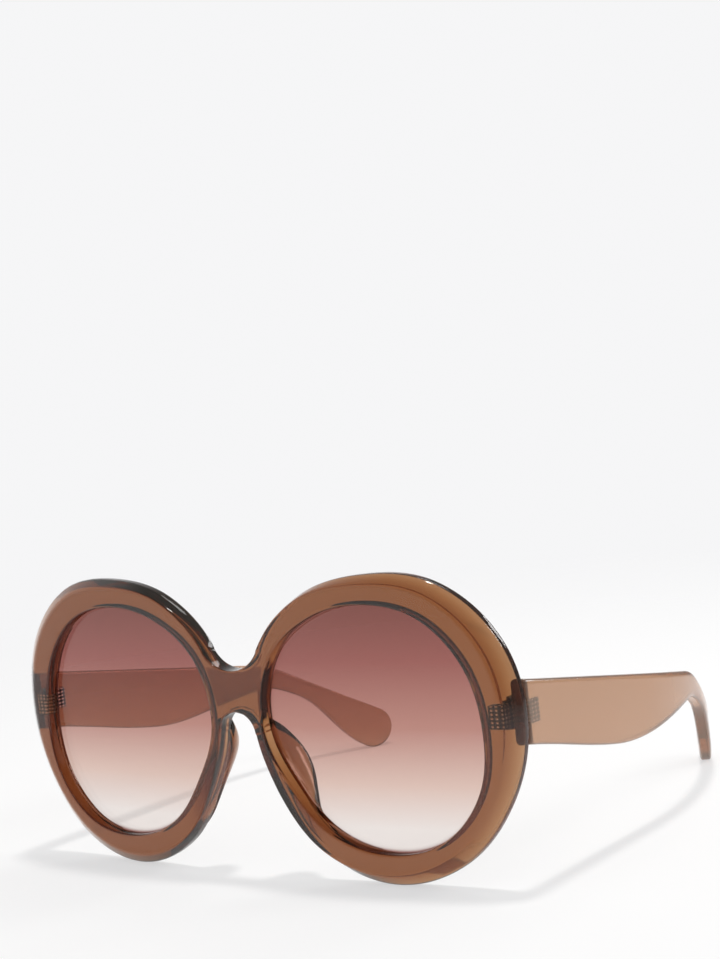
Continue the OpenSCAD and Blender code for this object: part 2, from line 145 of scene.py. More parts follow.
# %% [markdown]
# The outside of the front, as one distance round the lens centre: it is the rim's, except toward
# the nose, where the outline leaves the rim and follows the two circles to the middle plane.

# %% Outline of the front


def circle_hit(angle, height, radius):
    """Distance from the lens centre, along a direction, to a circle over the middle plane: with m
    the part of the way to its centre along that direction, m - sqrt(m^2 - distance^2 + radius^2)."""
    a = np.radians(angle)
    along = lens_x * np.cos(a) + height * np.sin(a)
    return along - np.sqrt(np.maximum(along**2 - lens_x**2 - height**2 + radius**2, 0))


def outline_r(angle):
    """Radius of the front's outside: the rim, or the bridge's circles near the nose."""
    angle = (np.asarray(angle, float) + 180) % 360 - 180
    below = circle_hit(angle, arch_z, arch_r)
    above = circle_hit(angle, crest_z, crest_r)
    circle = np.where(angle < arch_from, below, above)
    return np.where((angle < arch_to) | (angle > crest_to), rim_r(angle), circle)


print("outside of the front at 20 and -10 degrees:", outline_r([20, -10]).round(3).tolist())

# %% [markdown]
# The real front curves round the face. A bend modifier could do that afterwards, but the temples
# and hinges have to meet the curved back, so the bend is a formula: the face lies on a cylinder,
# and what lies deeper is on smaller cylinders with the same axis.

# %% Wrap round the face


def wrap_y(x, deep):
    """Depth behind the bridge of a surface that lies below the wrapped face:
    R - sqrt((R - deep)^2 - x^2), with R the radius of the wrap."""
    return wrap_r - np.sqrt((wrap_r - deep) ** 2 - x**2)


temple_x = front_half - temple_t / 2
butt_y = float(wrap_y(temple_x, front_t)) + butt_gap
overall_y = 2 * cad_box[1][1] / MM


def in_place(points):
    """Moves points from the front's own frame, with the lens centres at height 0, into the shared one."""
    return points + np.array([0, -overall_y / 2, lens_z])


print("temples start at x", round(temple_x, 3), "and", round(butt_y, 3), "mm behind the face's middle")

# %% [markdown]
# A polished moulding has no sharp corner. A Bevel modifier would round every edge of a loft alike,
# so the corners of a section are rounded here one by one, each with its own reach, which can change
# along the piece. The points at the ends of each rounding keep the flats beside it flat when shaded.

# %% Rounded corners


def rounded(corners, reach, steps):
    """Each inner corner of a chain becomes a short curve: (1-t)^2 start + 2t(1-t) corner + t^2 end,
    where start and end lie a reach away along the two sides that meet there."""
    rows = []
    for k in range(1, len(corners) - 1):
        before, here, after = corners[k - 1], corners[k], corners[k + 1]
        into = before - here
        out = after - here
        far_in = np.linalg.norm(into, axis=-1, keepdims=True)
        far_out = np.linalg.norm(out, axis=-1, keepdims=True)
        r = np.minimum(np.reshape(reach[k - 1], (-1, 1)), 0.45 * np.minimum(far_in, far_out))
        start = here + into / far_in * r
        end = here + out / far_out * r
        for t in np.linspace(0, 1, steps[k - 1] + 1):
            rows.append((1 - t) ** 2 * start + 2 * t * (1 - t) * here + t**2 * end)
    return np.array(rows)


square_corner = [np.array([[1.0, 0]]), np.array([[0.0, 0]]), np.array([[0.0, 1]])]
print("a corner rounded in two steps:", rounded(square_corner, [0.3], [2])[:, 0].round(3).tolist())

# %% [markdown]
# Each plastic piece is a grid of points: one direction runs along the piece, the other one round
# its section. Faces could be added one by one in two loops; worked out as whole arrays they are
# quicker to make, and the four corners of each are plain to see.

# %% Faces of a grid


def grid_quads(rows, columns, close_rows=False, close_columns=False):
    """Corner numbers of the quads of a grid whose points are numbered row by row."""
    i = np.arange(rows if close_rows else rows - 1)[:, None]
    j = np.arange(columns if close_columns else columns - 1)[None, :]
    this_row, next_row = i * columns, (i + 1) % rows * columns
    next_j = (j + 1) % columns
    return np.stack([this_row + j, next_row + j, next_row + next_j, this_row + next_j], -1)


print("quads of a closed grid of 3 by 4 points:", grid_quads(3, 4, True, True).reshape(-1, 4).shape[0])

# %% [markdown]
# One helper turns every grid into a piece. Where two grids meet, or one closes to a line, points are
# doubled and would show in clear plastic as cracks, so it merges them and turns all faces outward.
# It also says which body the piece rides on and which CAD nodes it stands for.

# %% Pieces from grids
merge_reach, sliver_reach = 0.004 * MM, 0.002 * MM


def make_piece(name, points, faces, body, replaced):
    """A smooth mesh object from points in millimetres. Doubled points are merged, unused ones
    removed and the faces turned outward. It rides on a body and stands for the CAD nodes named."""
    mesh = bpy.data.meshes.new(name)
    mesh.from_pydata((np.asarray(points).reshape(-1, 3) * MM).tolist(), [], [list(f) for f in faces])
    work = bmesh.new()
    work.from_mesh(mesh)
    bmesh.ops.remove_doubles(work, verts=work.verts, dist=merge_reach)
    bmesh.ops.dissolve_degenerate(work, edges=work.edges, dist=sliver_reach)
    bmesh.ops.delete(work, geom=[v for v in work.verts if not v.link_faces], context="VERTS")
    bmesh.ops.recalc_face_normals(work, faces=work.faces)
    loose = sum(1 for e in work.edges if len(e.link_faces) != 2)
    for face in work.faces:
        face.smooth = True
    work.to_mesh(mesh)
    work.free()
    piece = bpy.data.objects.new(name, mesh)
    bpy.context.scene.collection.objects.link(piece)
    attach(piece, body)
    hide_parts(*replaced)
    print(name, len(mesh.polygons), "faces,", loose, "edges without two faces")
    return piece


print("points closer than", round(merge_reach / MM, 4), "mm become one")

# %% [markdown]
# The front is one moulding: two rims, the bridge and the two nose pads. It could be cut out of a
# block with Booleans, but a clear plastic shows each crack in such a mesh. So one section is
# carried round each lens. This cell sets the directions in which the sections stand: closer
# together near the bridge, and a few more across it, where the two halves meet.

# %% Directions round a lens
round_steps, mid_steps, bunching_share = 300, 14, 0.6
round_span = 360 - crest_from + arch_from
turn = np.arange(round_steps + 1) / round_steps
round_angles = crest_from + round_span * (turn - bunching_share * np.sin(2 * np.pi * turn) / 2 / np.pi)
mid_angles = arch_from + (crest_from - arch_from) * np.arange(1, mid_steps) / mid_steps
angles = np.concatenate([round_angles, mid_angles + 360])
outer_count = len(round_angles)
print(len(angles), "sections round a lens,", outer_count, "of them reach the outline")

# %% [markdown]
# Inside, a section follows the opening, and outside the outline. A bevel or a groove of even width
# has to be stepped off square to its own curve, not toward the lens centre, so both curves get
# their own square directions. A hair's breadth is taken off the outline so that the polished skin
# lies inside the solid.

# %% Curves of the opening and the outline
skin_inset = 0.04


def curve_normals(points):
    """Unit vectors square to a plane curve, pointing away from the lens: the step (u, v) to the
    next point turned into (v, -u), for a curve that runs anticlockwise round the lens."""
    step = np.gradient(points, axis=0)
    normal = np.stack([step[:, 1], -step[:, 0]], -1)
    return normal / np.linalg.norm(normal, axis=1, keepdims=True)


def flat_point(angle, radius):
    """A point of the face plane as [away from the lens centre toward the nose, up]."""
    a = np.radians(angle)
    return np.stack([radius * np.cos(a), radius * np.sin(a)], -1)


inner_curve = flat_point(angles, opening_r(angles))
wide_angles = np.concatenate([angles[-3:] - 360, angles, angles[:3] + 360])
wide_angles = np.degrees(np.unwrap(np.radians(wide_angles)))
inner_normals = curve_normals(flat_point(wide_angles, opening_r(wide_angles)))[3:-3]
outer_curve = flat_point(round_angles, outline_r(round_angles))
outer_curve[0] = [lens_x, bridge_top]
outer_curve[-1] = [lens_x, bridge_low]
outer_normals = curve_normals(outer_curve)
outer_normals[0] = [0, 1]
outer_normals[-1] = [0, -1]
outer_curve = outer_curve - outer_normals * skin_inset
print("opening", inner_curve.shape, "and outline", outer_curve.shape, "as plane points")

# %% [markdown]
# The outside of the section has the wide bevel, which runs out toward the bridge. One plane can't
# cut it, because its width changes all the way round. So its two edges are corners of the section,
# and the rounding that polishing gives them grows with the bevel.

# %% Outside of the section
bevel_end_share, beside = 0.05, 2.0
top_round, top_round_more = 0.4, 0.9
foot_round, foot_round_more = 0.2, 0.8
back_round = 0.9
outer_round_steps = [6, 5, 7]


def with_depth(plane_points, deep):
    """Adds a depth below the face to points of the face plane."""
    depths = np.broadcast_to(np.reshape(deep, (-1, 1)), (len(plane_points), 1))
    return np.concatenate([plane_points, depths], 1)


def outer_chain():
    """Rounded corners of the outside: bevel top, bevel foot and back edge, over all outline points.
    The roundings above and below the bevel grow with its width."""
    bevel = bevel_w * smooth_share(bevel_shares, round_angles)
    share = (round_angles - crest_from) / round_span
    bevel = np.maximum(bevel, 0) * np.minimum(np.minimum(share, 1 - share) / bevel_end_share, 1)
    b = bevel[:, None]
    corners = [
        with_depth(outer_curve - outer_normals * (b + beside), 0),
        with_depth(outer_curve - outer_normals * b, 0),
        with_depth(outer_curve, bevel_d),
        with_depth(outer_curve, front_t),
        with_depth(outer_curve - outer_normals * beside, front_t)]
    top_reach = top_round + top_round_more * bevel / bevel_w
    foot_reach = foot_round + foot_round_more * bevel / bevel_w
    return rounded(corners, [top_reach, foot_reach, back_round], outer_round_steps)


print("a section has", len(outer_chain()), "points outside")

# %% [markdown]
# The inside of the section has the groove that the lens snaps into. A Boolean could cut it, but
# would leave slivers along the curve. The real groove is crisp, so that it holds the lens: here its
# corners stay nearly sharp, while the opening's edge at the face is polished round.

# %% Inside of the section
opening_back_round, opening_face_round, groove_round = 0.36, 0.78, 0.06
inner_round_steps = [5, 2, 2, 2, 7]


def inner_chain():
    """Rounded corners of the inside: back edge, the groove for the lens, and face edge."""
    out = inner_normals
    corners = [
        with_depth(inner_curve + out * beside, front_t),
        with_depth(inner_curve, front_t),
        with_depth(inner_curve, lens_deep + groove_half),
        with_depth(inner_curve + out * (ridge_h + seat_gap), lens_deep),
        with_depth(inner_curve, lens_deep - groove_half),
        with_depth(inner_curve, 0),
        with_depth(inner_curve + out * beside, 0)]
    reaches = [opening_back_round, groove_round, groove_round, groove_round, opening_face_round]
    return rounded(corners, reaches, inner_round_steps)


print("a section has", len(inner_chain()), "points inside")

# %% [markdown]
# Nose pads. On this frame each pad is a fin that stands out behind the nose side of the rim and
# leans over the lens opening. Its section is a short list of points, joined by the same cubic as
# the outline, and its ridge wanders over the width of the rim from the top of the pad to its foot.

# %% Shape of a nose pad
pad_ridge_shares, pad_ridge_limit_share = [0.2, 0.07, 1.1], 0.7
# Section of the fin: [share of the ridge's radius, share from ridge to foot, share of the height]
pad_section_shares = np.array([
    [0, 1, 0], [0.75, 0.6, 0.38], [0.95, 0.2, 0.78], [0.8, 0, 0.95], [0.3, 0, 1],
    [-0.3, 0, 1], [-0.8, 0, 0.94], [-1, 0, 0.78], [-0.7, -0.5, 0.38], [0, -1, 0]])


def smooth_open(values, place):
    """The cubic through evenly spaced values, with their first and last step carried on."""
    padded = np.concatenate([[2 * values[0] - values[1]], values, [2 * values[-1] - values[-2]]])
    low = np.minimum(np.floor(place).astype(int), len(values) - 2)
    return cubic([padded[low + step] for step in range(4)], place - low)


def pad_ridge(t):
    """Where the ridge stands between opening and outline: a parabola through three shares of the
    rim's width, at the top, the middle and the bottom of the pad, held below a limit."""
    top, middle, low = pad_ridge_shares
    ridge = top * (1 - t) * (1 - 2 * t) + middle * 4 * t * (1 - t) + low * t * (2 * t - 1)
    return np.minimum(ridge, pad_ridge_limit_share)


print("ridge at top, middle and foot, as shares of the rim:", pad_ridge(np.array([0, 0.5, 1])).tolist())

# %% [markdown]
# On the real front the pads are polished into the back of the rim. As pieces of their own they
# would show a seam inside the clear plastic. So a pad is a swelling of the front's back, highest in
# its middle and running out to nothing above and below.

# %% Back of the section, with its nose pad
pad_reach, pad_r, pad_from, pad_to = 6.2, 1.6, 2.0, -63.0
pad_bias_share, pad_lean_gain, pad_edge_share = 0.6, 1.6, 0.03
back_steps = 24
back_shares = np.linspace(0, 1, back_steps + 1)[1:-1]


def between(first, last, shares):
    """Points on the straight lines from first to last, at the given shares of the way."""
    return np.array([first + (last - first) * share for share in shares])


def padded_back(back_out, back_in):
    """Points over the back. A pad's height is reach * sin^2(pi t^0.6), for t from its top to its
    bottom, and the flat back turns into the fin's section as the same sine grows."""
    signed = (angles + 180) % 360 - 180
    t = np.clip((signed - pad_from) / (pad_to - pad_from), 0, 1)
    swell = np.sin(np.pi * t**pad_bias_share)
    height = pad_reach * np.maximum(swell, 0) ** 2
    lean = np.clip(swell * pad_lean_gain, 0, 1)
    lean = (lean * lean * (3 - 2 * lean))[None, :, None]
    place = back_shares * (len(pad_section_shares) - 1)
    shape = np.stack([smooth_open(pad_section_shares[:, k], place) for k in range(3)], -1)
    rim = (rim_r(signed) - opening_r(signed))[None, :]
    ridge = pad_ridge(t)[None, :]
    foot = np.where(shape[:, 1:2] > 0, 1 - pad_edge_share - ridge, ridge - pad_edge_share) * rim
    radius = opening_r(signed)[None, :] + ridge * rim + shape[:, :1] * pad_r + shape[:, 1:2] * foot
    a = np.radians(signed)[None, :]
    deep = front_t + shape[:, 2:] * height[None, :]
    fin = np.stack([radius * np.cos(a), radius * np.sin(a), deep], -1)
    back = between(back_out, back_in, back_shares) * (1 - lean) + fin * lean
    back[..., 2] = deep
    return back


print("a pad stands", pad_reach, "mm out, from", pad_from, "to", pad_to, "degrees")

# %% [markdown]
# Now the whole front. Each section is a closed loop: outside, back, inside and face. The sections
# across the bridge have no outside of their own, so there it lies flat on the middle plane, and the
# other half, mirrored, meets it point for point. No faces are made on that plane.

# %% The moulded front
face_shares = [0.02, 0.2, 0.5, 0.8, 0.98]


def front_points(side):
    """All points of one half of the front: sections round the lens, then round each section. Last,
    the wrap turns [toward the nose, up, deep] into [x, y, z]."""
    outer, inner = outer_chain(), inner_chain()
    full = np.zeros((len(outer), len(angles), 3))
    full[:, :outer_count] = outer
    mid = np.linspace(outer[0, -1, 1], outer[0, 0, 1], mid_steps + 1)[1:-1]
    full[:, outer_count:] = np.stack([mid * 0 + lens_x, mid, mid * 0], -1)
    full[-1, outer_count:, 2] = front_t
    back = padded_back(full[-1], inner[0])
    face = between(inner[-1], full[0], face_shares)
    loop = np.concatenate([full, back, inner, face])
    x = lens_x - loop[..., 0]
    points = np.stack([side * x, wrap_y(x, loop[..., 2]), loop[..., 1]], -1)
    return in_place(points.transpose(1, 0, 2)), len(outer)


halves, quads = [], []
for side in (1, -1):
    points, rows_out = front_points(side)
    quad = grid_quads(points.shape[0], points.shape[1], True, True)
    inside = np.ones(quad.shape[:2], bool)
    inside[outer_count - 1:, :rows_out - 1] = False
    quads.append(quad[inside] + sum(h.shape[0] * h.shape[1] for h in halves))
    halves.append(points)
front = make_piece(
    "moulded_front", np.concatenate([h.reshape(-1, 3) for h in halves]), np.concatenate(quads), "front",
    ["frame_front", "left_nose_pad", "right_nose_pad"])

# %% [markdown]
# The lenses are thin curved discs with a low ridge round the edge that snaps into the groove of
# the rim. A flat disc with a Solidify modifier would miss the wrap and the ridge, so rings of
# points from the middle outward give both faces, and the ridge is one ring more between them.

# %% Lenses
lens_spokes, lens_rings = 180, 13
pole_share, last_ring_share = 1e-5, 0.983


def lens_points(side):
    """Rings of the front face from the middle out, the ridge, and rings of the back face back in.
    The rings' radii grow as the square root of their number, so that all have about one area."""
    shares = np.append(np.sqrt(np.linspace(0, 1, lens_rings + 2))[1:-1], [last_ring_share, 1])
    shares = np.append(pole_share, shares)
    front_rows = [[share, 0, -lens_t / 2] for share in shares]
    back_rows = [[share, 0, lens_t / 2] for share in shares[::-1]]
    rows = np.array(front_rows + [[1, ridge_h, 0]] + back_rows)
    a = np.linspace(0, 360, lens_spokes + 1)[:-1]
    radius = (opening_r(a) - seat_gap)[None, :] * rows[:, :1] + rows[:, 1:2]
    x = lens_x - radius * np.cos(np.radians(a))
    z = radius * np.sin(np.radians(a))
    return in_place(np.stack([side * x, wrap_y(x, lens_deep + rows[:, 2:]), z], -1))


lenses = []
for side, word in ((1, "left"), (-1, "right")):
    points = lens_points(side)
    quad = grid_quads(points.shape[0], points.shape[1], False, True).reshape(-1, 4)
    lenses.append(make_piece(f"{word}_gradient_lens", points, quad, "front", [f"{word}_lens"]))

# %% [markdown]
# The ground edge of a tinted lens looks darker than its middle, because one looks along the sheet
# there. Here that darkening is painted shade in the lens's colour. A second piece for the edge
# would show a seam. So each point of a lens carries a number that says how near the edge it is,
# and the lens material paints the shade by it later.

# %% Rim of the lenses, where shade is painted
rim_from_share, rim_len_share = 0.98, 0.019


def mark_rim(lens, side):
    """An attribute that runs from 0 to 1 over the outer edge of a lens: distance from the middle
    divided by the opening's radius in that direction. It sets where the lens colour gets painted shade."""
    spots = np.empty(len(lens.data.vertices) * 3)
    lens.data.vertices.foreach_get("co", spots)
    away, _, up = (spots.reshape(-1, 3) / MM * [side, 1, 1] - [lens_x, 0, lens_z]).T
    share = np.hypot(away, up) / (opening_r(np.degrees(np.arctan2(up, -away))) - seat_gap)
    rim = lens.data.attributes.new("rim", "FLOAT", "POINT")
    rim.data.foreach_set("value", np.clip((share - rim_from_share) / rim_len_share, 0, 1))
    print(lens.name, "has", int((share > 0.999).sum()), "points on its rim")


for side, lens in zip((1, -1), lenses):
    mark_rim(lens, side)

# %% [markdown]
# A temple is a flat bar of sheet plastic, milled to a wide blade that narrows over the ear and
# ends in a round tip, then bent in behind the head. It could be bent with a curve modifier, but its
# height, thickness and rounding all change along it. So each of them is a smooth function of the
# distance along the top edge, and the height comes first.

# %% Height of a temple
broad_share, neck_share = 0.31, 0.755
broad_s, neck_s, round_from = broad_share * temple_len, neck_share * temple_len, temple_len - tip_w / 2


def ease(start, end, t):
    """A smooth step: half a cosine from one value to the other."""
    return start + (end - start) * (1 - np.cos(np.pi * np.clip(t, 0, 1))) / 2


def temple_h(s):
    """Height of the blade at a distance along its top edge: it eases from the butt up to the
    widest place, down to the neck, and up again to the width of the tip."""
    widening = ease(butt_h, broad_h, s / broad_s)
    narrowing = ease(broad_h, neck_h, (s - broad_s) / (neck_s - broad_s))
    tip = ease(neck_h, tip_w, (s - neck_s) / (round_from - neck_s))
    return np.where(s < broad_s, widening, np.where(s < neck_s, narrowing, tip))


print("height at hinge, widest place, neck:", temple_h(np.array([0, broad_s, neck_s])).round(2).tolist())

# %% [markdown]
# From the widest place on the bar gets thinner, and its edges rounder, because the polishing wheel
# takes off most at the tip. Behind the ear it drops. A straight line would do for the thickness,
# and the drop is one number that comes in over a short stretch.

# %% Thickness, rounding and slope of a temple
tip_softness = 1.3
bend_from_share, bend_len_share = 0.61, 0.08


def past_broad(s):
    """Share of the way from the widest place to where the tip's half circle starts."""
    return np.maximum(s - broad_s, 0) / (round_from - broad_s)


def thick_share(s):
    """Thickness of the blade as a share of that at the hinge: it tapers from the widest place on."""
    return 1 + (tip_t / temple_t - 1) * past_broad(s)


def softness(s):
    """How much wider the rounding of the edges is than at the hinge: it grows toward the tip."""
    return 1 + tip_softness * past_broad(s)


def slope_at(s, pitch):
    """Downward slope of the top edge in degrees: the pitch, and behind the ear the drop, which
    comes in evenly over a short stretch."""
    return pitch + tip_drop * np.clip((s / temple_len - bend_from_share) / bend_len_share, 0, 1)


print("thickness at the round tip's start:", round(float(temple_t * thick_share(round_from)), 2), "mm")

# %% [markdown]
# The glasses stand on their rims and on the tips of the temples, so the temples' pitch isn't free.
# A few steps find it: lay out the top edge, see how far the tip is off the table, and turn by the
# angle that this makes over the tip's distance.

# %% Pitch of the temples
blade_steps, pitch_tries = 144, 6
path = np.linspace(0, round_from, blade_steps + 1)


def top_edge(s, pitch):
    """The top edge as [run, rise], summed over short steps of its slope."""
    m = np.radians(slope_at((s[:-1] + s[1:]) / 2, pitch))
    step = np.diff(s)
    run = np.cumsum(np.cos(m) * step)
    rise = -np.cumsum(np.sin(m) * step)
    return np.stack([np.r_[0, run], np.r_[0, rise]], -1)


def tip_centre(pitch):
    """Centre of the round tip: half its width square below the end of the top edge."""
    end_slope = np.radians(slope_at(temple_len, pitch))
    return top_edge(path, pitch)[-1] - np.array([np.sin(end_slope), np.cos(end_slope)]) * tip_w / 2


pitch = 0.0
for _ in range(pitch_tries):
    tip = tip_centre(pitch)
    pitch += float(np.degrees(np.arctan2(lens_z + butt_rise + tip[1] - tip_w / 2, tip[0])))
print("temple pitch in degrees:", round(pitch, 3))

# %% [markdown]
# The section of a temple is a tall rectangle with round corners. Its points are named by how far
# out they lie, how far in from the blade's contour, and on which side of the middle, so that one
# list serves every section, the tip and the butt.

# %% Section of a temple
edge_round, temple_inset, corner_steps, top_flat_share = 1.0, 0.01, 6, 0.95
half_t = temple_t / 2 - temple_inset
side_flat = half_t - edge_round
top_flat = side_flat * top_flat_share
quarter = np.radians(np.linspace(0, 90, corner_steps + 1))
corner_out = side_flat + edge_round * np.sin(quarter)
corner_in = edge_round * (1 - np.cos(quarter))
level_shares = np.array([0.98, 0.6, 0.2, -0.2, -0.6, -0.98])
# Half profile from the middle of the top edge, over the outer face, to the middle of the bottom
# edge: distance out, inset from the contour, and share of the height for the flat's own points.
levels, corner_ones = len(level_shares), np.ones(corner_steps + 1)
out_half = np.r_[0, top_flat, corner_out, [half_t] * levels, corner_out[::-1], top_flat, 0]
inset_half = np.r_[0, 0, corner_in, [edge_round] * levels, corner_in[::-1], 0, 0]
sign_half = np.r_[1, 1, corner_ones, level_shares, -corner_ones, -1, -1]
outs = np.r_[out_half, -out_half[-2:0:-1]]
insets = np.r_[inset_half, inset_half[-2:0:-1]]
signs = np.r_[sign_half, sign_half[-2:0:-1]]
print("a temple's section has", len(outs), "points and is", round(2 * float(outs.max()), 2), "mm thick")

# %% [markdown]
# The section is laid along the blade and round the tip. The real bar is heated and bent; here its
# middle plane runs straight back and then follows a circle inward, and every point is placed from
# its run along that plane, its rise, and its distance out.

# %% Blade and tip of a temple
tip_steps = 16


def temple_place(run, rise, out):
    """A point at a run along the plan, a rise, and a distance out from the middle plane. Past the
    straight part, the plan turns inward by the run there divided by the curve's radius."""
    bend = np.maximum(run - straight_len, 0) / curve_r
    x = temple_x + out * np.cos(bend) - curve_r * (1 - np.cos(bend))
    y = butt_y + np.minimum(run, straight_len) + curve_r * np.sin(bend) + out * np.sin(bend)
    return np.stack([x, y, butt_rise + rise], -1)


def blade_sections():
    """Sections along the blade, square to its slope a: up the section is (sin a, cos a)."""
    s = path[:, None]
    a = np.radians(slope_at(s, pitch))
    half = temple_h(s) / 2
    mid = top_edge(path, pitch) - np.concatenate([np.sin(a), np.cos(a)], 1) * half
    up = signs[None, :] * (half - insets[None, :] * softness(s))
    run, rise = mid[:, :1] + up * np.sin(a), mid[:, 1:] + up * np.cos(a)
    return temple_place(run, rise, outs[None, :] * thick_share(s))


def tip_sections():
    """Sections round the tip: radius * sin t along the slope and radius * cos t square to it."""
    t = np.radians(np.linspace(0, 90, tip_steps + 1))[1:, None]
    radius = tip_w / 2 - insets[None, :] * (1 + tip_softness)
    along = radius * np.sin(t)
    up = signs[None, :] * radius * np.cos(t)
    end_slope = np.radians(slope_at(temple_len, pitch))
    centre = tip_centre(pitch)
    run = centre[0] + along * np.cos(end_slope) + up * np.sin(end_slope)
    rise = centre[1] - along * np.sin(end_slope) + up * np.cos(end_slope)
    return temple_place(run, rise, outs[None, :] * tip_t / temple_t + 0 * run)


print("sections along the blade:", len(blade_sections()), "and round the tip:", len(tip_sections()))

# %% [markdown]
# The butt is cut to fit the back of the front. A Boolean with the front would do it, but would
# leave a sharp ragged edge. So the first section is slid along the slope onto that wrapped surface,
# and a few rings round its edge and close it.

# %% Butt of a temple
# The butt's rings: share of the section kept, inset from its edge, distance behind the front
butt_rings = ((0.1009, 0.0, 0.0), (1.0, 0.35, 0.0), (1.0, 0.15, 0.06), (1.0, 0.04, 0.2), (1.0, 0.0, 0.45))
butt_room = 0.3


def drawn_in(values, share, inset):
    """Values scaled by a share, and moved toward 0 by an inset but not past it."""
    values = values * share
    return values - np.sign(values) * np.minimum(inset, abs(values))


def butt_section(share, inset, back):
    """The first section, drawn in and slid down the pitch onto the surface behind the front."""
    p = np.radians(pitch)
    out = drawn_in(outs, share, inset)
    up = drawn_in(signs * (butt_h / 2 - insets), share, inset) - butt_h / 2
    run, rise = up * np.sin(p), up * np.cos(p)
    slide = (wrap_y(temple_x + out, front_t) + butt_gap - butt_y + back - run) / np.cos(p)
    return temple_place(run + slide * np.cos(p), rise - slide * np.sin(p), out)


print("rings over the butt:", len(butt_rings))

# %% [markdown]
# The parts of a temple are put together: the butt's rings, then those sections of the blade that
# lie clear of them, then the tip. The last ring shrinks to a line round the tip's end, and one
# face closes the middle of the butt. The right temple is the mirror image of the left one.

# %% Temples


def temple_points(side):
    """Butt, blade and tip of one temple in one grid, mirrored for the right side."""
    rings = np.array([butt_section(*ring) for ring in butt_rings])
    blade = blade_sections()
    keep = blade[:, :, 1].min(axis=1) > rings[:, :, 1].max() + butt_room
    return in_place(np.concatenate([rings, blade[keep], tip_sections()]) * [side, 1, 1])


temples = []
for side, word in ((1, "left"), (-1, "right")):
    points = temple_points(side)
    quad = grid_quads(points.shape[0], points.shape[1], False, True).reshape(-1, 4).tolist()
    quad.append(list(range(points.shape[1])))
    temples.append(make_piece(
        f"{word}_temple_blade", points, quad, f"{word}_temple", [f"{word}_temple"]))

# %% [markdown]
# Every finish here is a small tree of shader nodes. Nodes could be placed and linked one by one, but
# the same few lines would come again and again. So one helper makes a node with its settings, and
# fills each input with a plain value or with another node's output.

# %% Materials and nodes


def node_material(name):
    """A material with a plain shader, its tree, and the piece's own coordinates."""
    material = bpy.data.materials.new(name)
    material.use_nodes = True
    tree = material.node_tree
    place = tree.nodes.new("ShaderNodeTexCoord")
    return material, tree, tree.nodes["Principled BSDF"], place.outputs["Object"]


def put(tree, value, socket):
    """Links another node's output to an input, or writes a plain value there."""
    if isinstance(value, bpy.types.NodeSocket):
        tree.links.new(value, socket)
    else:
        socket.default_value = value


def node_with(tree, kind, inputs, result, **settings):
    """A new node with its settings, its inputs by number or name, and the output asked for."""
    node = tree.nodes.new(kind)
    for name, value in settings.items():
        setattr(node, name, value)
    for key, value in inputs.items():
        put(tree, value, node.inputs[key])
    return node.outputs[result]


print("made: node_material, put, node_with")

# %% [markdown]
# Three things are worked out over a surface again and again: a soft grain, a value stretched to
# another range, and plain sums. On a piece they start from its own coordinates, so that the pattern
# moves with it.

# %% Values from nodes
grain_detail = 3.0
# Nearly all of the grain lies between these two values
grain_low, grain_high = 0.3, 0.7


def noise(tree, spot, scale):
    """A soft grain on the piece's own coordinates, so many cycles a metre."""
    inputs = {"Vector": spot, "Scale": scale, "Detail": grain_detail}
    return node_with(tree, "ShaderNodeTexNoise", inputs, "Fac")


def map_range(tree, value, from_low, from_high, to_low, to_high, kind="LINEAR"):
    """Stretches a value from one range to another, along a line or a smooth step."""
    inputs = {
        "Value": value, "From Min": from_low, "From Max": from_high,
        "To Min": to_low, "To Max": to_high}
    return node_with(tree, "ShaderNodeMapRange", inputs, "Result", interpolation_type=kind)


def number(tree, operation, *values):
    """One number worked out from others."""
    return node_with(tree, "ShaderNodeMath", dict(enumerate(values)), "Value", operation=operation)


def vector_number(tree, operation, *vectors):
    """One number worked out from vectors, such as a length or a dot product."""
    return node_with(tree, "ShaderNodeVectorMath", dict(enumerate(vectors)), "Value", operation=operation)


print("made: noise, map_range, number, vector_number")

# %% [markdown]
# The last helpers put such a value to use: it mixes two colours or two shaders, or tilts the
# shading as small hills and hollows would. A real ripple in the mesh would take far more faces.

# %% Mixes and bumps


def colour_mix(tree, share, first, second):
    """A colour that runs from the first to the second as the share goes from 0 to 1."""
    inputs = {"Factor": share, "A": first, "B": second}
    return node_with(tree, "ShaderNodeMix", inputs, "Result", data_type="RGBA")


def shader_mix(tree, share, first, second):
    """The first shader at a share of 0, and the second one at 1."""
    return node_with(tree, "ShaderNodeMixShader", {0: share, 1: first, 2: second}, "Shader")


def bump(tree, shader, height, strength, deep):
    """Tilts the shading of a surface by a height map, so many metres deep."""
    inputs = {"Height": height, "Strength": strength, "Distance": deep}
    tree.links.new(node_with(tree, "ShaderNodeBump", inputs, "Normal"), shader.inputs["Normal"])


print("made: colour_mix, shader_mix, bump")

# %% [markdown]
# The moulded plastic is clear, with a brown dye all through it, so its colour comes from how far
# light travels inside: thin edges look light, thick places dark. It could be painted on as one
# brown, but then no edge would darken and nothing would show through. So it is a glossy shader
# that lets light pass, and its volume takes away blue fast, green slower and red slowest. The
# temples are of a milkier plastic, so a larger share of their light is scattered.

# %% Clear plastic
plastic_ior = 1.49
polish, polish_scale = (0.02, 0.07), 900.0
cloud_share, cloud_scale = 0.94, 60.0
ripple_strength, ripple_deep, ripple_scale = 0.03, 0.00005, 350.0


